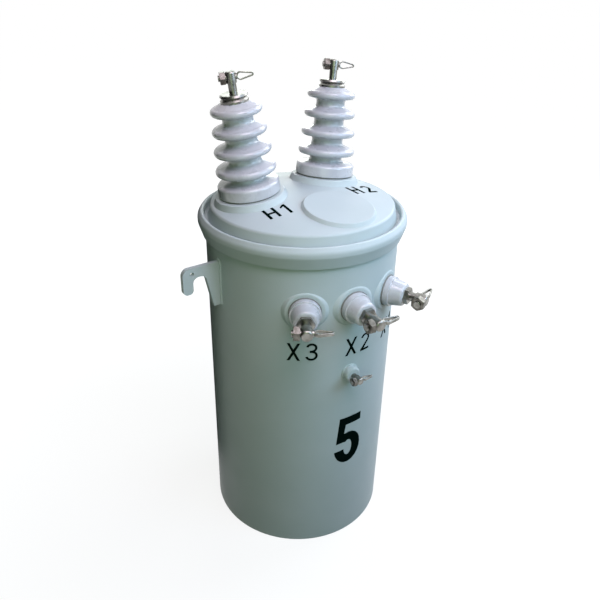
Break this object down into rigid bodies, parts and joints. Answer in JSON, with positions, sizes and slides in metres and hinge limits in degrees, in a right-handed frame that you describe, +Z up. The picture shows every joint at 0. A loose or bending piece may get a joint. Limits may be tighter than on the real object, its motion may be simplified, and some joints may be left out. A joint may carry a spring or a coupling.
{
  "type": "pole mounted transformer",
  "caption": "Cylindrical steel transformer tank with a clamped cover, leaning ribbed porcelain bushings on top, terminals on its side, lifting lugs and pole hangers.",
  "frame": {"origin": "centre of the tank's foot ring, on the tank's axis", "axes": "+Z up along the tank's axis; -Y is the low-voltage side, +Y the pole side, +X right seen from the front"},
  "size_m": [0.461, 0.4375, 0.8441],
  "materials": {
    "enamel": "semi-gloss sky grey enamel",
    "porcelain": "light grey glaze on porcelain",
    "gasket_rubber": "moulded cork and rubber",
    "tinned_bronze": "tinned cast bronze",
    "bronze_nut": "worn tinned bronze",
    "zinc_steel": "zinc plated"
  },
  "bodies": {
    "root": {"band_bolt": "zinc_steel", "cover": "enamel", "cover_band": "enamel", "cover_gasket": "gasket_rubber", "ground_boss": "enamel", "ground_eyebolt": "tinned_bronze", "ground_nut": "bronze_nut", "ground_stud": "tinned_bronze", "h1_cap": "tinned_bronze", "h1_eyebolt": "tinned_bronze", "h1_gasket": "gasket_rubber", "h1_nut": "bronze_nut", "h1_porcelain": "porcelain", "h1_stud": "tinned_bronze", "h2_cap": "tinned_bronze", "h2_eyebolt": "tinned_bronze", "h2_gasket": "gasket_rubber", "h2_nut": "bronze_nut", "h2_porcelain": "porcelain", "h2_stud": "tinned_bronze", "lifting_lug_left": "enamel", "lifting_lug_right": "enamel", "lower_hanger": "enamel", "tank_bottom": "enamel", "tank_rim": "enamel", "tank_wall": "enamel", "upper_hanger": "enamel", "x1_eyebolt": "tinned_bronze", "x1_gasket": "gasket_rubber", "x1_nut": "bronze_nut", "x1_porcelain": "porcelain", "x1_stud": "tinned_bronze", "x2_eyebolt": "tinned_bronze", "x2_gasket": "gasket_rubber", "x2_nut": "bronze_nut", "x2_porcelain": "porcelain", "x2_stud": "tinned_bronze", "x3_eyebolt": "tinned_bronze", "x3_gasket": "gasket_rubber", "x3_nut": "bronze_nut", "x3_porcelain": "porcelain", "x3_stud": "tinned_bronze"}
  },
  "joints": []
}
